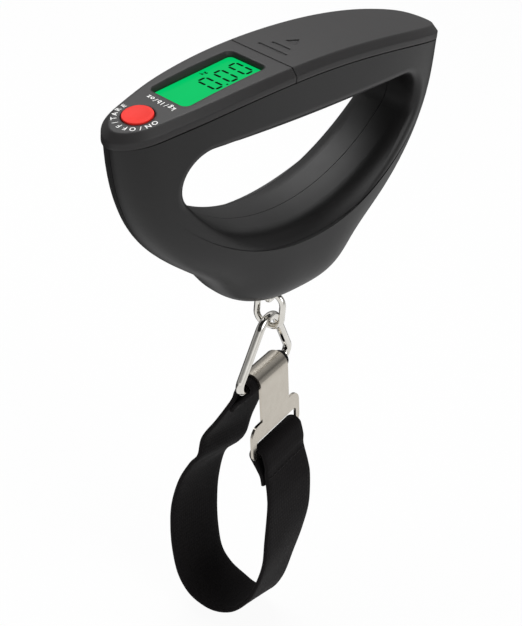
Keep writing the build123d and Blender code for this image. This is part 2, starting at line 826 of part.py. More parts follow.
clip_plate = hang * hook_at * (roll + Pos(0, -hook_inner, 0) * plate)

slot_bar_z = -plate_length + slot_bar / 2
slot_bar_y = -hook_inner - hook_thickness / 2
lean = radians(hook_lean)
slot_bar_at = (
    slot_bar_y * cos(lean) + slot_bar_z * sin(lean),
    ring_low - slot_bar_y * sin(lean) + slot_bar_z * cos(lean),
)
end_y, end_z = strap_near[-1]
run_y, run_z = end_y - slot_bar_at[0], end_z - slot_bar_at[1]
front_lean = degrees(atan2(run_y, -run_z))
lower_length = hypot(run_y, run_z)
slot_loop = webbing_loop(hypot(slot_bar, hook_thickness) / 2, lower_length, slot_loop_half_width)
slot_loop = Pos(0, slot_bar_at[0], slot_bar_at[1]) * Rot(front_lean, 0, 0) * slot_loop

band = webbing_band(strap_near, strap_far, -half_webbing, half_webbing, webbing_half_width)
tail_near = strap_near[-tail_overlap:]
tail_far = strap_far[-tail_overlap:]
tail_low, tail_high = -half_webbing - webbing_thickness, -half_webbing + 0.2
tail = webbing_band(tail_near, tail_far, tail_low, tail_high, webbing_tail_half_width)
strap_webbing = hang * (band + upper_loop + slot_loop + tail)

# ---------------------------------------------------------------------------
# Export
# ---------------------------------------------------------------------------

nodes = {
    "front_shell": front_shell,
    "rear_shell": rear_shell,
    "shell_screws": Compound(shell_screws),
    "display_bezel": display_bezel,
    "battery_door": battery_door,
    "lcd_window": lcd_window,
    "lcd_panel": lcd_panel,
    "backlight_panel": backlight_panel,
    "lcd_contact_strip": lcd_contact_strip,
    "main_board": main_board,
    "board_screws": Compound(board_screws),
    "tact_switch": tact_switch,
    "beeper": beeper,
    "power_button": power_button,
    "battery_tray": battery_tray,
    "battery_cells": Compound(cells),
    "battery_contacts": Compound(contacts),
    "load_cell": load_cell,
    "load_cell_bracket": load_cell_bracket,
    "load_cell_screws": Compound(load_cell_screws),
    "strain_gauges": Compound(gauges),
    "load_eye": load_eye,
    "oval_link": oval_link,
    "triangle_ring": triangle_ring,
    "strap_webbing": strap_webbing,
    "clip_plate": clip_plate,
}

for name, shape in nodes.items():
    solids = shape.solids()
    export_step(solids[0] if len(solids) == 1 else Compound(solids), f"parts/{name}.step")
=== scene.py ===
# %% [markdown]
# # Digital luggage scale
# A hand-held scale for suitcases: a moulded plastic loop to hold, a small
# display and a red button on its arched top, and below it a chain of steel
# rings that carries a webbing strap with a hook plate. Every rigid piece comes
# from the CAD model, in metres and in its own place. This lesson gives each
# piece its finish, makes the soft strap, and sets up the light and the camera.

# %% Load the model and keep its box
from math import sin, cos, radians, pi, hypot, atan2

import bpy
import bmesh
from mathutils import Vector, Matrix


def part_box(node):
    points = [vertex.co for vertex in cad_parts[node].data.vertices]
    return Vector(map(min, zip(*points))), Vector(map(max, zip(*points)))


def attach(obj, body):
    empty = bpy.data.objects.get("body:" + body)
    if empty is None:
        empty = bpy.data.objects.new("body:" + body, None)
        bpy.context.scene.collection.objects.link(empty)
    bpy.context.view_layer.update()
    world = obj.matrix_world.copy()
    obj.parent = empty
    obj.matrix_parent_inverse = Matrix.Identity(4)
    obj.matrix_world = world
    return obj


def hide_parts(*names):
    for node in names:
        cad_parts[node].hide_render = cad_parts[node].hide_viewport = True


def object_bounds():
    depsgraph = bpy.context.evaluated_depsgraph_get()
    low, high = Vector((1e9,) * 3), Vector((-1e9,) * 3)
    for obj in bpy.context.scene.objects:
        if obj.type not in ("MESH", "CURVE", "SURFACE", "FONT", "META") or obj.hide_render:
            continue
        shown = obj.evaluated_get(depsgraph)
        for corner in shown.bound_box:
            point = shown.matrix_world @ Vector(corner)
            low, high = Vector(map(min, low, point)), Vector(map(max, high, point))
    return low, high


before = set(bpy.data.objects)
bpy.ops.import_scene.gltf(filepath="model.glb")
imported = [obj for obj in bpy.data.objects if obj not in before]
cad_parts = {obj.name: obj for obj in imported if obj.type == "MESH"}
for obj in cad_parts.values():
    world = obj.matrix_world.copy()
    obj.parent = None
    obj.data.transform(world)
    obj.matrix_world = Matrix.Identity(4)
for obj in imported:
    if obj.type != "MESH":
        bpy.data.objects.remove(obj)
cad_low, cad_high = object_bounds()
mm = 0.001
print("CAD box from", cad_low, "to", cad_high)

# %% [markdown]
# ## A small language for finishes
# Every finish is a sheet of shader nodes. Laying them by hand hides the idea,
# so one class wraps an output and lets it be added, subtracted and multiplied
# like a number, and one method lays any other node: it takes the node's type,
# its settings, and the values or links of its sockets. The few nodes that come
# back in most finishes have a short method of their own that calls it.

# %% Sockets as values, and one method for nodes
class Flow:
    def __init__(self, finish, socket):
        self.finish = finish
        self.socket = socket

    def __add__(self, other):
        return self.finish.combine("ADD", self, other)

    def __radd__(self, other):
        return self.finish.combine("ADD", other, self)

    def __sub__(self, other):
        return self.finish.combine("SUBTRACT", self, other)

    def __rsub__(self, other):
        return self.finish.combine("SUBTRACT", other, self)

    def __mul__(self, other):
        return self.finish.combine("MULTIPLY", self, other)

    def __rmul__(self, other):
        return self.finish.combine("MULTIPLY", other, self)


class Finish:
    def __init__(self, name, owner=None):
        self.owner = owner or bpy.data.materials.new(name)
        self.owner.use_nodes = True
        self.tree = self.owner.node_tree
        self.tree.nodes.clear()

    def lay(self, kind, settings=None, sockets=None, output=0):
        node = self.tree.nodes.new(kind)
        for key, value in (settings or {}).items():
            setattr(node, key, value)
        for key, value in (sockets or {}).items():
            target = node.inputs[key]
            if isinstance(value, Flow):
                self.tree.links.new(value.socket, target)
            else:
                target.default_value = value
        return Flow(self, node.outputs[output])

    def combine(self, operation, first, second):
        return self.lay("ShaderNodeMath", {"operation": operation}, {0: first, 1: second})

    def span(self, value, start, end, at_start, at_end):
        sockets = {0: value, 1: start, 2: end, 3: at_start, 4: at_end}
        return self.lay("ShaderNodeMapRange", {}, sockets)

    def place(self, size):
        spot = self.lay("ShaderNodeTexCoord", output="Object")
        return self.lay("ShaderNodeVectorMath", {"operation": "MULTIPLY"}, {0: spot, 1: size})

    def reach(self, where, way):
        return self.lay("ShaderNodeVectorMath", {"operation": "DOT_PRODUCT"}, {0: where, 1: way}, "Value")

    def seen_by(self, ray):
        return self.lay("ShaderNodeLightPath", output=ray)

    def noise(self, where, scale=1.0, detail=2.0, rough=0.5):
        sockets = {"Vector": where, "Scale": scale, "Detail": detail, "Roughness": rough}
        return self.lay("ShaderNodeTexNoise", {}, sockets)

    def blend(self, amount, first, second):
        settings = {"data_type": "RGBA"}
        return self.lay("ShaderNodeMix", settings, {0: amount, 6: first, 7: second}, output=2)

    def bump(self, height, strength, distance, soft_edge=0.0):
        sockets = {"Height": height, "Strength": strength, "Distance": distance}
        if soft_edge:
            sockets["Normal"] = self.lay("ShaderNodeBevel", {"samples": 8}, {"Radius": soft_edge})
        return self.lay("ShaderNodeBump", {}, sockets)

    def done(self, **sockets):
        named = {key.replace("_", " ").title(): value for key, value in sockets.items()}
        fixed = {"Ior": "IOR", "Specular Ior Level": "Specular IOR Level"}
        named = {fixed.get(key, key): value for key, value in named.items()}
        self.lay_output(self.lay("ShaderNodeBsdfPrincipled", {}, named))
        return self.owner

    def lay_output(self, shader):
        kind = "World" if isinstance(self.owner, bpy.types.World) else "Material"
        end = self.tree.nodes.new("ShaderNodeOutput" + kind)
        self.tree.links.new(shader.socket, end.inputs["Surface"])


def rgb(red, green, blue):
    return (red, green, blue, 1.0)


in_mm = (1000.0, 1000.0, 1000.0)
print("a finish can lay nodes, and adds, subtracts and multiplies their outputs")

# %% [markdown]
# ## Moulded plastic
# The shells and the cap are black ABS with a fine spark-eroded grain. The
# grain could be sculpted or displaced, but it is far too small to model, so it
# is a bump about a third of a millimetre across. A second, wide and faint
# noise changes the tone and the gloss a little, as handling does. The cap's
# black is lighter than the shells': painted light, for the top that the light
# from above falls on. Its grain is a shade finer, and its edges are rounded
# over about a millimetre in the shading alone, as a mould rounds them. The
# button is a plain red plastic with hardly any mirror to it.

# %% Shell, cap and button plastics
def moulded(name, colour, lighter, gloss, grain_size, grain_depth, ior=1.43, soft_edge=0.0):
    finish = Finish(name)
    where = finish.place(in_mm)
    grain = finish.noise(where, scale=1.0 / grain_size, detail=2.0, rough=0.55)
    wide = finish.noise(where, scale=0.06, detail=3.0, rough=0.6)
    tone = finish.blend(wide * 0.6 + grain * 0.25, rgb(*colour), rgb(*lighter))
    rough = gloss + (wide - 0.5) * 0.10 + (grain - 0.5) * 0.06
    normal = finish.bump(grain, strength=0.35, distance=grain_depth * mm, soft_edge=soft_edge * mm)
    return finish.done(base_color=tone, roughness=rough, normal=normal, ior=ior)


shell_plastic = moulded(
    "shell_plastic", (0.0088, 0.0085, 0.0086), (0.0130, 0.0126, 0.0128),
    gloss=0.41, grain_size=0.35, grain_depth=0.03, ior=1.37,
)
# The cap's lighter black is painted light, for the top that the light from above falls on.
cap_plastic = moulded(
    "cap_plastic", (0.017, 0.0160, 0.0163), (0.025, 0.0237, 0.0240),
    gloss=0.48, grain_size=0.30, grain_depth=0.03, ior=1.40, soft_edge=1.1,
)
inner_plastic = moulded(
    "inner_plastic", (0.02, 0.02, 0.021), (0.03, 0.03, 0.031),
    gloss=0.5, grain_size=0.4, grain_depth=0.02,
)
button_red = moulded(
    "button_red", (0.79, 0.028, 0.020), (0.82, 0.035, 0.025),
    gloss=0.5, grain_size=0.5, grain_depth=0.01, ior=1.25,
)
print("plastics:", shell_plastic.name, cap_plastic.name, inner_plastic.name, button_red.name)

# %% [markdown]
# ## Metals
# The rings are drawn wire, bent and bright plated: nearly a mirror, with faint
# draw lines and a few soft dents. The hook plate is stamped sheet with a
# tumbled satin plating, so it is rougher and a little warmer. Both could be
# one flat metal colour, but a mirror with no flaw looks cut out, so a noise
# that is stretched along the metal's length changes its gloss, and a cloud
# changes its colour and its surface.

# %% Bright wire and satin sheet
lines_along = 140.0


def plated(name, colour, deeper, gloss, lines_across, dent):
    finish = Finish(name)
    cloud = finish.noise(finish.place(in_mm), scale=0.35, detail=3.0, rough=0.55)
    drawn = finish.place((lines_across, lines_across, lines_along))
    lines = finish.noise(drawn, scale=1.0, detail=3.0, rough=0.6)
    tone = finish.blend(cloud, rgb(*colour), rgb(*deeper))
    rough = gloss + (lines - 0.5) * 0.12 + (cloud - 0.5) * 0.10
    normal = finish.bump(cloud * 0.6 + lines * 0.4, strength=dent, distance=0.06 * mm)
    return finish.done(base_color=tone, roughness=rough, metallic=1.0, normal=normal)


bright_steel = plated("bright_steel", (0.78, 0.76, 0.71), (0.62, 0.60, 0.56), 0.09, 1500.0, 0.25)
satin_steel = plated("satin_steel", (0.57, 0.53, 0.465), (0.50, 0.46, 0.40), 0.24, 2500.0, 0.2)
screw_steel = plated("screw_steel", (0.55, 0.55, 0.56), (0.42, 0.42, 0.44), 0.32, 2500.0, 0.2)
spring_steel = plated("spring_steel", (0.66, 0.66, 0.64), (0.5, 0.5, 0.48), 0.28, 2500.0, 0.2)
load_cell_alloy = plated("load_cell_alloy", (0.75, 0.76, 0.78), (0.66, 0.67, 0.69), 0.36, 4000.0, 0.25)
metals = (bright_steel, satin_steel, screw_steel, spring_steel, load_cell_alloy)
print("metals:", *(metal.name for metal in metals))

# %% [markdown]
# ## Webbing
# The strap is woven polyester, black on black. Threads could be modelled one by
# one, but they are about a millimetre wide and lie flat, so waves in a bump
# draw them. The weave has to run with the strap round its bends, so the waves
# are drawn over the strip's own length and width, which the strap's mesh will
# carry as a UV map, 100 mm to a unit. Warp ribs run along it and the weft
# crosses them. A little fuzz and sheen stand for the loose fibres.

# %% Woven black polyester
strip_unit = 100.0
warp_pitch, weft_pitch = 1.1, 1.7


def woven(name, colour, worn):
    finish = Finish(name)
    on_strip = {"Vector": finish.lay("ShaderNodeTexCoord", output="UV")}
    along = finish.lay("ShaderNodeSeparateXYZ", {}, on_strip, output="X")
    across = finish.lay("ShaderNodeSeparateXYZ", {}, on_strip, output="Y")
    turns = 2 * pi * strip_unit
    warp = finish.lay("ShaderNodeMath", {"operation": "SINE"}, {0: across * (turns / warp_pitch)})
    weft = finish.lay("ShaderNodeMath", {"operation": "SINE"}, {0: along * (turns / weft_pitch)})
    where = finish.place(in_mm)
    fuzz = finish.noise(where, scale=2.2, detail=3.0, rough=0.7)
    cloud = finish.noise(where, scale=0.09, detail=3.0, rough=0.6)
    thread = warp * 0.30 + weft * 0.22 + warp * weft * 0.35 + fuzz * 0.45
    tone = finish.blend(cloud * 0.60 + thread * 0.14, rgb(*colour), rgb(*worn))
    rough = 0.82 + (fuzz - 0.5) * 0.16
    normal = finish.bump(thread, strength=0.45, distance=0.15 * mm)
    return finish.done(
        base_color=tone, roughness=rough, normal=normal,
        sheen_weight=0.02, sheen_roughness=0.5, specular_ior_level=0.08,
    )


black_webbing = woven("black_webbing", (0.0058, 0.0049, 0.0052), (0.0098, 0.0088, 0.0092))
black_thread = moulded(
    "black_thread", (0.006, 0.0055, 0.0055), (0.010, 0.0095, 0.0095),
    gloss=0.7, grain_size=0.25, grain_depth=0.04, ior=1.3,
)
print("weave of", warp_pitch, "by", weft_pitch, "mm, sewn with", black_thread.name)

# %% [markdown]
# ## Display, lettering and the hidden parts
# The display is lit from behind through its window. It could be clear glass
# over a glowing panel, but the layers lie close together and nothing moves in
# them, so the window itself is green: it gives out its colour and has only a
# weak gloss, which keeps the room's light from washing it out. The figures are
# liquid crystal, flat and near black, and the lettering is white pad print. Of
# the parts inside, only the cells and their tray are seen, with the door open,
# but each gets what it is made of, so that the model can be taken apart.

# %% Display and small finishes
def glow(name, colour, light, strength):
    finish = Finish(name)
    cloud = finish.noise(finish.place(in_mm), scale=0.12, detail=2.0, rough=0.5)
    tone = finish.blend(cloud, rgb(*colour), rgb(colour[0], colour[1] * 0.9, colour[2] * 0.9))
    shine = finish.blend(cloud, rgb(*light), rgb(light[0], light[1] * 0.94, light[2] * 0.96))
    return finish.done(
        base_color=tone, roughness=0.16 + cloud * 0.05,
        emission_color=shine, emission_strength=strength, ior=1.08,
    )


def plain(name, colour, other, gloss, size, metal=0.0, ior=1.45):
    finish = Finish(name)
    cloud = finish.noise(finish.place(in_mm), scale=1.0 / size, detail=3.0, rough=0.6)
    tone = finish.blend(cloud, rgb(*colour), rgb(*other))
    rough = gloss + (cloud - 0.5) * 0.12
    normal = finish.bump(cloud, strength=0.2, distance=0.03 * mm)
    return finish.done(base_color=tone, roughness=rough, metallic=metal, normal=normal, ior=ior)


lcd_window = glow("lcd_window", (0.0, 0.06, 0.02), (0.0, 0.52, 0.12), 1.0)
lcd_ink = plain("lcd_ink", (0.002, 0.008, 0.003), (0.003, 0.012, 0.004), 0.6, 1.5, ior=1.05)
pad_print = plain("pad_print", (0.86, 0.86, 0.85), (0.78, 0.78, 0.77), 0.55, 0.6)
lcd_glass = plain("lcd_glass", (0.05, 0.35, 0.15), (0.05, 0.30, 0.14), 0.12, 3.0)
backlight = plain("backlight", (0.2, 0.8, 0.4), (0.2, 0.7, 0.36), 0.4, 3.0)
contact_rubber = plain("contact_rubber", (0.05, 0.05, 0.055), (0.09, 0.09, 0.095), 0.7, 0.3)
circuit_board = plain("circuit_board", (0.008, 0.075, 0.028), (0.012, 0.10, 0.04), 0.35, 1.2)
cell_wrap = plain("cell_wrap", (0.05, 0.055, 0.065), (0.08, 0.085, 0.095), 0.3, 6.0, metal=0.4)
gauge_film = plain("gauge_film", (0.55, 0.28, 0.08), (0.42, 0.2, 0.05), 0.4, 0.5)
print("materials so far:", len(bpy.data.materials))

# %% Each rigid piece gets its finish
finish_of = {
    "front_shell": shell_plastic, "rear_shell": shell_plastic, "shell_screws": screw_steel,
    "display_bezel": cap_plastic, "battery_door": cap_plastic, "lcd_window": lcd_window,
    "lcd_panel": lcd_glass, "backlight_panel": backlight, "lcd_contact_strip": contact_rubber,
    "main_board": circuit_board, "board_screws": screw_steel, "tact_switch": inner_plastic,
    "beeper": inner_plastic, "power_button": button_red, "battery_tray": inner_plastic,
    "battery_cells": cell_wrap, "battery_contacts": spring_steel, "load_cell": load_cell_alloy,
    "load_cell_bracket": spring_steel, "load_cell_screws": screw_steel, "strain_gauges": gauge_film,
    "load_eye": bright_steel, "oval_link": bright_steel, "triangle_ring": bright_steel,
    "clip_plate": satin_steel,
}
for node, material in finish_of.items():
    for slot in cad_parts[node].material_slots:
        slot.material = material
print("finished", len(finish_of), "carried-over pieces")

# %% [markdown]
# ## Strap
# One length of 25 mm webbing is sewn round the ring's bar, hangs in an open
# loop, and is sewn round the bottom bar of the hook plate. Cloth simulation
# could hang it, but its shape would then depend on the solver, and a curve
# with a flat bevel would twist at the bends. So it is built as the strip that
# it is: two rims are followed from end to end, and between them each
# cross-section has rounded edges and the real thickness. The loop hangs a
# little askew, so its two rims don't lie side by side.

# %% The frame that the strap hangs in
hang_turn = radians(11.7)
eye_x = 2.5
right = Vector((cos(hang_turn), sin(hang_turn), 0.0))
rear = Vector((-sin(hang_turn), cos(hang_turn), 0.0))
up = Vector((0.0, 0.0, 1.0))


def hung(x, y, z):
    return (Vector((eye_x, 0, 0)) + right * x + rear * y + up * z) * mm


print("the strap's middle plane passes", hung(0, 0, 0))

# %% The two rims of the hanging loop, as depth and height in millimetres
near_rim = [
    (5.1, -122.6), (10.0, -130.8), (15.0, -140.2), (16.3, -149.0), (19.7, -154.9),
    (23.6, -164.6), (26.0, -177.0), (25.9, -188.4), (24.4, -199.0), (21.4, -209.0),
    (16.6, -215.4), (10.6, -218.0), (4.2, -217.8), (-2.6, -214.0), (-8.5, -206.0),
    (-12.2, -195.6), (-14.2, -184.6), (-14.1, -173.6), (-13.9, -158.5), (-13.2, -152.0),
    (-11.3, -145.0),
]
far_rim = [
    (5.1, -122.6), (7.2, -131.6), (10.2, -142.2), (11.9, -151.0), (14.6, -156.2),
    (20.0, -163.4), (22.1, -176.5), (22.0, -189.5), (20.6, -201.4), (18.0, -211.4),
    (13.2, -217.0), (7.3, -219.8), (0.8, -221.8), (-5.3, -219.6), (-10.0, -209.6),
    (-13.0, -194.6), (-15.4, -182.0), (-16.8, -170.0), (-15.9, -157.5), (-14.4, -151.6),
    (-11.3, -145.0),
]
bar_centre, bar_turn = (0.0, -112.46), 2.55
slot_centre, slot_turn = (-7.46, -137.70), 2.63
print("each rim has", len(near_rim), "points, from the ring's bar to the plate's")

# %% [markdown]
# ## Where the strap turns round its bars
# At both ends the webbing goes round a steel bar and lies back on itself, where
# it is sewn. A real fold hugs the bar and then closes to the thickness of two
# layers. Each turn is an arc about its bar, worked out by a loop, and the
# points before and after it bring the layers together.

# %% Steps and turns in the strap's side view
webbing = 1.5
half_web = webbing / 2
arc_steps = 7


def unit(y, z):
    size = hypot(y, z)
    return (y / size, z / size)


def step(start, heading, run, side=(0, 0), off=0.0):
    y = start[0] + heading[0] * run + side[0] * off
    z = start[1] + heading[1] * run + side[1] * off
    return (y, z)


def turn_round(centre, radius, start, end):
    points = []
    for i in range(arc_steps + 1):
        angle = start + (end - start) * i / arc_steps
        points.append((centre[0] + radius * cos(angle), centre[1] + radius * sin(angle)))
    return points


print("webbing", webbing, "mm thick, turned in", arc_steps, "steps")

# %% Round the ring's bar, as distances from it and offsets to either side
hem_end, hem_seam, bar_neck = 12.6, 9.2, 5.0
hem_off, neck_off, loop_off = 0.86, 1.75, 0.80
bar_wrap = 0.15
down = unit(near_rim[0][0] - bar_centre[0], near_rim[0][1] - bar_centre[1])
behind = (-down[1], down[0])
bar_base = atan2(behind[1], behind[0])
bar_start = [
    step(bar_centre, down, hem_end, behind, -hem_off),
    step(bar_centre, down, hem_seam, behind, -hem_off),
    step(bar_centre, down, bar_neck, behind, -neck_off),
]
bar_loop = turn_round(bar_centre, bar_turn, bar_base + pi + bar_wrap, bar_base - bar_wrap)
bar_end = [
    step(bar_centre, down, bar_neck, behind, neck_off),
    step(bar_centre, down, hem_seam, behind, loop_off),
]
ring_end = bar_start + bar_loop + bar_end
print("ring end:", len(ring_end), "points")

# %% Round the hook plate's bar, and the tail inside the loop
slot_neck, slot_off, slot_lean = 4.6, 1.9, 0.5
slot_wrap = 0.1
layer_gap = 0.12
lower = unit(near_rim[-1][0] - slot_centre[0], near_rim[-1][1] - slot_centre[1])
front = (lower[1], -lower[0])
slot_base = atan2(front[1], front[0])
slot_loop = turn_round(slot_centre, slot_turn, slot_base + slot_wrap, slot_base - pi - slot_wrap)
plate_end = [step(slot_centre, lower, slot_neck, front, slot_off)] + slot_loop
plate_end.append(step(slot_centre, lower, slot_neck, front, -slot_off))


def tail(rim, gap):
    layer = []
    last = len(rim) - 1
    for i in (last, last - 1):
        before, after = rim[i - 1], rim[min(i + 1, last)]
        heading = unit(after[0] - before[0], after[1] - before[1])
        layer.append((rim[i][0] + heading[1] * gap, rim[i][1] - heading[0] * gap))
    halfway = tuple((a + b) / 2 for a, b in zip(*layer))
    return [layer[0], halfway]


def whole_route(rim):
    on_to_plate = [step(rim[-1], front, slot_lean)] + plate_end
    return ring_end + rim[1:-1] + on_to_plate + tail(rim, webbing + layer_gap)


near_route = whole_route(near_rim)
far_route = whole_route(far_rim)
slot_first = len(ring_end + near_rim[1:-1]) + 1
print("route points", len(near_route), "and the plate's turn begins at", slot_first)

# %% [markdown]
# ## From two routes to a strip
# A soft strip has no corners, so a Catmull-Rom curve goes through the points of
# each route, which keeps every point where it was set. The webbing is squeezed
# a little narrower in the ring and eases out to its full width. Pairs of points
# on the two curves are the rows of the strip, and the distance along the rows
# is kept for the weave and for the stitches.

# %% Smooth both routes and pair them
per_span = 7
full_half, ring_half = 12.5, 11.8
easing_passes = 8


def smooth(points, count):
    fine = []
    last = len(points) - 1
    for i in range(last):
        before, start = Vector(points[max(i - 1, 0)]), Vector(points[i])
        end, after = Vector(points[i + 1]), Vector(points[min(i + 2, last)])
        for k in range(count):
            t = k / count
            first = (end - before) * t
            second = (2 * before - 5 * start + 4 * end - after) * t**2
            third = (3 * start - before - 3 * end + after) * t**3
            fine.append(start + (first + second + third) / 2)
    fine.append(Vector(points[-1]))
    return fine


near_line = smooth(near_route, per_span)
far_line = smooth(far_route, per_span)
in_ring = (len(bar_start + bar_loop) + 1) * per_span
widths = [ring_half if i < in_ring else full_half for i in range(len(near_line))]
for _ in range(easing_passes):
    inner = [(a + 2 * b + c) / 4 for a, b, c in zip(widths, widths[1:], widths[2:])]
    widths = [widths[0]] + inner + [widths[-1]]

rows = []
for near, far, width in zip(near_line, far_line, widths):
    rows.append((hung(-width, near.x, near.y), hung(width, far.x, far.y)))
travel = [0.0]
for (a, b), (c, d) in zip(rows, rows[1:]):
    travel.append(travel[-1] + ((c + d) - (a + b)).length / 2)
print("webbing length", round(travel[-1], 4), "m, sections", len(rows))

# %% Cross-section of the webbing
flat_steps = 10
flat_share = 0.94
edge = [(0.985, 0.72), (1.0, 0.0), (0.985, -0.72)]
selvedge_place, selvedge_reach, selvedge_swell = 0.9, 0.06, 0.07


def web_section():
    top = [(flat_share * (2 * i / flat_steps - 1), 1.0) for i in range(flat_steps + 1)]
    over = top + edge
    return over + [(-s, -t) for s, t in over]


def bead(s):
    return 1.0 + selvedge_swell * max(0.0, 1.0 - abs(abs(s) - selvedge_place) / selvedge_reach)


def section_at(k):
    near, far = rows[k]
    before, after = rows[max(k - 1, 0)], rows[min(k + 1, len(rows) - 1)]
    heading = ((after[0] + after[1]) - (before[0] + before[1])).normalized()
    across = (far - near).normalized()
    return near, far, across, heading.cross(across).normalized()


print("the webbing's section has", len(web_section()), "points")

# %% Skin the sections, and make a piece of a mesh
def skin(mesh, rings):
    for ring, following in zip(rings, rings[1:]):
        for i in range(len(ring)):
            j = (i + 1) % len(ring)
            mesh.faces.new((ring[i], following[i], following[j], ring[j]))
    mesh.faces.new(list(reversed(rings[0])))
    mesh.faces.new(rings[-1])


def piece_of(name, mesh, material):
    data = bpy.data.meshes.new(name)
    mesh.to_mesh(data)
    mesh.free()
    piece = bpy.data.objects.new(name, data)
    bpy.context.scene.collection.objects.link(piece)
    piece.data.materials.append(material)
    print(name, "has", len(data.polygons), "faces")
    return piece


# %% The strap's mesh, with its length and width as a UV map
def strip_mesh():
    mesh = bmesh.new()
    uv = mesh.loops.layers.uv.new("strip")
    per_metre = 1 / (strip_unit * mm)
    on_strip = {}
    rings = []
    for k, distance in enumerate(travel):
        near, far, across, normal = section_at(k)
        middle, half = (near + far) / 2, (far - near).length / 2
        ring = []
        for s, t in web_section():
            point = middle + across * (half * s) + normal * (t * half_web * mm * bead(s))
            vertex = mesh.verts.new(point)
            on_strip[vertex] = (distance * per_metre, s * half * per_metre)
            ring.append(vertex)
        rings.append(ring)
    skin(mesh, rings)
    for face in mesh.faces:
        face.smooth = len(face.verts) == 4
        for loop in face.loops:
            loop[uv].uv = on_strip[loop.vert]
    bmesh.ops.recalc_face_normals(mesh, faces=mesh.faces)
    return mesh


strap = piece_of("webbing_strap", strip_mesh(), black_webbing)
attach(strap, "strap")
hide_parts("strap_webbing")

# %% [markdown]
# ## Stitching
# The strap's ends are sewn down in rows across the webbing. Stitches could be
# drawn in the bump, but they catch the light as small separate ridges, so each
# is a short, fat, round-ended grain of thread that sinks a little at both ends.
# All the grains of one seam are one mesh.

# %% One grain of thread
grain_sides = 8
grain_profile = ((-1.0, 0.35), (-0.8, 0.8), (-0.3, 1.0), (0.3, 1.0), (0.8, 0.8), (1.0, 0.35))
grain_sink = 0.9


def grain(mesh, point, along, out, length, radius):
    third = along.cross(out).normalized()
    rings = []
    for share, swell in grain_profile:
        centre = point + along * (length / 2 * share) - out * (radius * grain_sink * share**4)
        ring = []
        for i in range(grain_sides):
            turn = 2 * pi * i / grain_sides
            ring.append(mesh.verts.new(centre + (out * cos(turn) + third * sin(turn)) * radius * swell))
        rings.append(ring)
    skin(mesh, rings)


# %% Rows of stitches across the webbing
stitches = 9
stitch_margin = 0.09
stitch_length, stitch_radius = 2.1 * mm, 0.24 * mm
stitch_lift = 0.04 * mm
row_gap = 3.0 * mm
plate_margin = 5.0 * mm


def surface_at(distance, side, share):
    k = min(range(len(travel)), key=lambda i: abs(travel[i] - distance))
    near, far, across, normal = section_at(k)
    out = normal * side
    return near.lerp(far, share) + out * (half_web * mm + stitch_lift), across, out


def seam(name, stitched):
    mesh = bmesh.new()
    for distance, side in stitched:
        for i in range(stitches):
            share = stitch_margin + (1 - 2 * stitch_margin) * i / (stitches - 1)
            point, across, out = surface_at(distance, side, share)
            grain(mesh, point, across, out, stitch_length, stitch_radius)
    for face in mesh.faces:
        face.smooth = True
    bmesh.ops.recalc_face_normals(mesh, faces=mesh.faces)
    piece = piece_of(name, mesh, black_thread)
    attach(piece, "strap")


bar_out = travel[(len(ring_end) - 1) * per_span]
slot_in = travel[slot_first * per_span] - plate_margin
seam("bar_seam", [(bar_out, -1), (bar_out + row_gap, -1), (bar_out, 1)])
seam("slot_seam", [(slot_in, -1), (slot_in, 1)])

# %% [markdown]
# ## The display's figures and the words on the case
# On such a scale the figures are liquid crystal and the words are pad printed.
# Both could be painted in a texture, but shapes stay sharp at any distance, so
# figures and words are thin flat marks. Each corner of a mark is dropped
# straight down on the surface below and lifted by a few hundredths of a
# millimetre, so a mark follows the arch of the case. The figures are the usual
# seven-segment bars with pointed ends. The words are Blender's own letters,
# turned into a mesh, made a little bolder and set one by one, round the button
# and in a row beside the display.

# %% Marks laid on a surface
drop_height = cad_high[2] + 10 * mm


def dropped(node, x, y, lift):
    start = Vector((x, y, drop_height))
    found, spot, normal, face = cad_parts[node].ray_cast(start, Vector((0, 0, -1)))
    if not found:
        raise ValueError("nothing below " + node)
    return spot + normal * lift


def mark(name, node, outlines, lift, material, rider):
    mesh = bmesh.new()
    for outline in outlines:
        mesh.faces.new([mesh.verts.new(dropped(node, x, y, lift)) for x, y in outline])
    for face in mesh.faces:
        face.normal_update()
        if face.normal.z < 0:
            face.normal_flip()
    piece = piece_of(name, mesh, material)
    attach(piece, rider)


print("a mark is dropped from a height of", round(drop_height, 4), "m")


# %% Seven-segment figures
window_low, window_high = (Vector(corner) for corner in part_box("lcd_window"))
window_centre = (window_low + window_high) / 2
display_length, display_width = 30.9 * mm, 13.9 * mm
figure_width, figure_height = 3.1 * mm, 7.0 * mm
bar_width = 0.8 * mm
bar_gap = bar_width * 0.32
figure_starts, figure_foot = (0.453, 0.648, 0.838), 0.215
point_place, point_half = (0.597, 0.195), 0.3 * mm
ink_lift = 0.03 * mm
square_corners = ((-1, -1), (1, -1), (1, 1), (-1, 1))


def on_display(along, across):
    x = window_centre.x + (along - 0.5) * display_length
    y = window_centre.y + (across - 0.5) * display_width
    return (x, y)


def segment(start, end):
    start, end = Vector(start), Vector(end)
    tip = (end - start).normalized() * bar_width / 2
    side = Vector((-tip.y, tip.x))
    return [start, start + tip + side, end - tip + side, end, end - tip - side, start + tip - side]


def figure_zero(left, low):
    right, high, middle = left + figure_width, low + figure_height, low + figure_height / 2
    outlines = [segment((left + bar_gap, y), (right - bar_gap, y)) for y in (low, high)]
    for x in (left, right):
        outlines.append(segment((x, low + bar_gap), (x, middle - bar_gap)))
        outlines.append(segment((x, middle + bar_gap), (x, high - bar_gap)))
    return outlines


segments = []
for start_share in figure_starts:
    segments += figure_zero(*on_display(start_share, figure_foot))
x, y = on_display(*point_place)
segments.append([(x + i * point_half, y + j * point_half) for i, j in square_corners])
mark("display_figures", "lcd_window", segments, ink_lift, lcd_ink, "housing")

# %% Letters
capital_share = 0.72


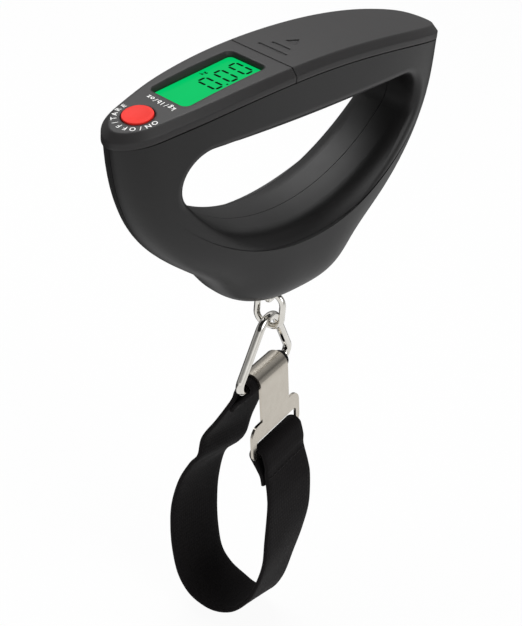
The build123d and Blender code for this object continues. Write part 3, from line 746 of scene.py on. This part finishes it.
def letter_faces(letter, height, weight):
    curve = bpy.data.curves.new("letter_" + str(ord(letter)), "FONT")
    curve.body = letter
    curve.align_x = "CENTER"
    curve.size = height / capital_share
    curve.offset = weight
    curve.resolution_u = 4
    holder = bpy.data.objects.new(curve.name, curve)
    shape = bpy.data.meshes.new_from_object(holder)
    points = [(vertex.co.x, vertex.co.y - height / 2) for vertex in shape.vertices]
    faces = [[points[k] for k in polygon.vertices] for polygon in shape.polygons]
    bpy.data.objects.remove(holder)
    bpy.data.curves.remove(curve)
    bpy.data.meshes.remove(shape)
    return faces


def set_letter(letter, centre, top, height, weight):
    across = Vector((top.y, -top.x))
    faces = []
    for face in letter_faces(letter, height, weight):
        faces.append([centre + across * x + top * y for x, y in face])
    return faces


# %% Words round the button and beside the display
button_centre = Vector((-59.5 * mm, 0.0))
word_radius, word_height, word_weight = 6.48 * mm, 1.6 * mm, 0.04 * mm
first_turn, turn_per_letter = -87, -18.9
words = []
for i, letter in enumerate("ON/OFF/TARE"):
    turn = radians(first_turn + turn_per_letter * i)
    outward = Vector((cos(turn), sin(turn)))
    words += set_letter(letter, button_centre + outward * word_radius, outward, word_height, word_weight)

units_x = window_centre.x - display_length / 2 - 3.3 * mm
units_pitch, units_height, units_weight = 1.4 * mm, 1.65 * mm, 0.05 * mm
units_middle = 3.8
print_lift = 0.04 * mm
for i, letter in enumerate("kg/lb/oz"):
    spot = Vector((units_x, (i - units_middle) * units_pitch))
    words += set_letter(letter, spot, Vector((-1, 0)), units_height, units_weight)
mark("case_words", "display_bezel", words, print_lift, pad_print, "housing")

# %% The unit on the display
unit_place = (0.575, 0.885)
unit_pitch, unit_height, unit_weight = 1.2 * mm, 1.35 * mm, 0.06 * mm
unit_words = []
x, y = on_display(*unit_place)
for i, letter in enumerate("kg"):
    spot = Vector((x + unit_pitch * i, y))
    unit_words += set_letter(letter, spot, Vector((0, 1)), unit_height, unit_weight)
mark("display_unit", "lcd_window", unit_words, ink_lift, lcd_ink, "housing")

# %% [markdown]
# ## Camera
# The scale is seen from above, in front of its button end, so that the top, the
# front and the grip hole all show. A camera can be moved by hand or told to
# track an object. Here its heading, pitch and roll are written down and its
# three axes are worked out from them, so the view is exact, and the light can
# be set out along the same heading. A long lens keeps the near end from looking
# too large.

# %% Camera
view_yaw, view_pitch, view_roll = 0.858, 0.582, 0.092
view_distance = 0.4145
origin_right, origin_above = 0.00772, 0.07209
view_heading = (sin(view_yaw), cos(view_yaw), 0.0)
forward = Vector((sin(view_yaw) * cos(view_pitch), cos(view_yaw) * cos(view_pitch), -sin(view_pitch)))
level = Vector((cos(view_yaw), -sin(view_yaw), 0))
above = level.cross(forward)
sideways = level * cos(view_roll) + above * sin(view_roll)
upright = above * cos(view_roll) - level * sin(view_roll)
camera_data = bpy.data.cameras.new("camera")
camera_data.lens = 80.5
camera_data.sensor_width = 36
camera = bpy.data.objects.new("camera", camera_data)
bpy.context.scene.collection.objects.link(camera)
camera_spot = -(sideways * origin_right + upright * origin_above + forward * view_distance)
axes = Matrix((sideways, upright, -forward)).transposed().to_4x4()
camera.matrix_world = Matrix.Translation(camera_spot) @ axes
bpy.context.scene.camera = camera
print("camera at", [round(v, 4) for v in camera_spot])

# %% [markdown]
# ## Floor
# The floor is a large white sheet a millimetre under the strap. A matt sheet
# turns white only under so much light that black plastic turns grey. So its
# material is mostly plain white to whoever looks at it, in a mirror or through
# glass too, and the rest is matt paint, which takes the shadow. Mirrored, its
# far side turns dark, because a satin black case and bright rings take their
# shape from the edges that they mirror.

# %% Floor
floor_gap, floor_half = 1.0 * mm, 4.0
white_share, mirrored_share = 0.94, 0.75
far_way, far_share = (0.2, 0.98, 0.0), 0.95
far_start, far_end = 0.05, 0.13
far_grey = rgb(0.04, 0.04, 0.04)


def floor_finish():
    finish = Finish("floor_paint")
    spot = finish.place((1.0, 1.0, 1.0))
    cloud = finish.noise(spot, scale=3.0, detail=2.0, rough=0.5)
    paint = finish.blend(cloud, rgb(0.90, 0.90, 0.90), rgb(0.88, 0.88, 0.88))
    matt = finish.lay("ShaderNodeBsdfDiffuse", {}, {"Color": paint})
    white = finish.lay("ShaderNodeEmission", {}, {"Color": rgb(1, 1, 1), "Strength": 1.0})
    dark = finish.lay("ShaderNodeEmission", {}, {"Color": far_grey, "Strength": 1.0})
    mirrored = finish.seen_by("Is Glossy Ray")
    direct = finish.seen_by("Is Camera Ray") + finish.seen_by("Is Transmission Ray")
    share = (direct + mirrored * mirrored_share) * white_share
    far = mirrored * finish.span(finish.reach(spot, far_way), far_start, far_end, 0.0, far_share)
    sheet = finish.lay("ShaderNodeMixShader", {}, {0: share, 1: matt, 2: white})
    finish.lay_output(finish.lay("ShaderNodeMixShader", {}, {0: far, 1: sheet, 2: dark}))
    return finish.owner


def flat_floor(height, half):
    mesh = bmesh.new()
    mesh.faces.new([mesh.verts.new((x * half, y * half, height)) for x, y in square_corners])
    piece_of("floor", mesh, floor_finish())


flat_floor(cad_low[2] - floor_gap, floor_half)

# %% [markdown]
# ## Light
# Black plastic shows little of its own colour: what gives it shape is what it
# mirrors. Many lamps could be set round it, but a studio's walls are easier to
# paint on the world, and every lamp would add noise. One large soft lamp
# overhead makes the shadow and lights the top. On the world, a low wall runs
# all round and is brightest behind the viewer, a band higher up behind the
# scale lights the inner wall of the grip hole, and a soft panel in front draws
# the satin line along the rolled rim. The camera itself sees plain white.

# %% Lamp
def softbox(name, place, target, size, power):
    data = bpy.data.lights.new(name, "AREA")
    data.shape = "RECTANGLE"
    data.size = size
    data.size_y = size
    data.energy = power
    lamp = bpy.data.objects.new(name, data)
    bpy.context.scene.collection.objects.link(lamp)
    look = (Vector(target) - Vector(place)).normalized()
    lamp.rotation_euler = look.to_track_quat("-Z", "Y").to_euler()
    lamp.location = place
    print(name, "lamp,", power, "W over", size, "m")


softbox("overhead", (0.12, 0.28, 0.80), (0, 0, -0.05), 0.7, 7.9)

# %% Studio walls
room_level, band_level, panel_level = 0.03, 0.94, 3.2
wall_top, wall_turn, wall_side = (0.30, 0.46), (-0.85, -0.55), 0.36
band_foot, band_head, band_turn = (0.34, 0.52), (0.66, 0.85), (0.25, 0.80)
band_low = 0.12
panel_way, panel_rim = (0.0, -0.80, 0.60), (0.91, 0.97)


def studio_world():
    studio = Finish("studio", bpy.data.worlds.new("studio"))
    facing = studio.lay("ShaderNodeTexCoord", output="Generated")
    height = studio.lay("ShaderNodeSeparateXYZ", {}, {"Vector": facing}, output="Z")
    depth = studio.reach(facing, view_heading)
    wall = studio.span(height, *wall_top, 1.0, 0.0) * studio.span(depth, *wall_turn, 1.0, wall_side)
    band = studio.span(height, *band_foot, band_low, 1.0) * studio.span(height, *band_head, 1.0, 0.0)
    band = studio.span(depth, *band_turn, 0.0, 1.0) * band * band_level
    panel = studio.span(studio.reach(facing, panel_way), *panel_rim, 0.0, panel_level)
    seen = studio.seen_by("Is Camera Ray")
    light = room_level + studio.combine("MAXIMUM", wall, band) + panel + seen
    studio.lay_output(studio.lay("ShaderNodeBackground", {}, {"Color": light, "Strength": 1.0}))
    return studio.owner


bpy.context.scene.world = studio_world()
bpy.context.scene.view_settings.view_transform = "Standard"
print("world", bpy.context.scene.world.name)

# %% [markdown]
# ## Sizes
# Last, the CAD model's box is printed. The strap is shaped more finely than
# its plain CAD solid, but the object keeps its size.

# %% Sizes
print("CAD box", cad_low, cad_high)
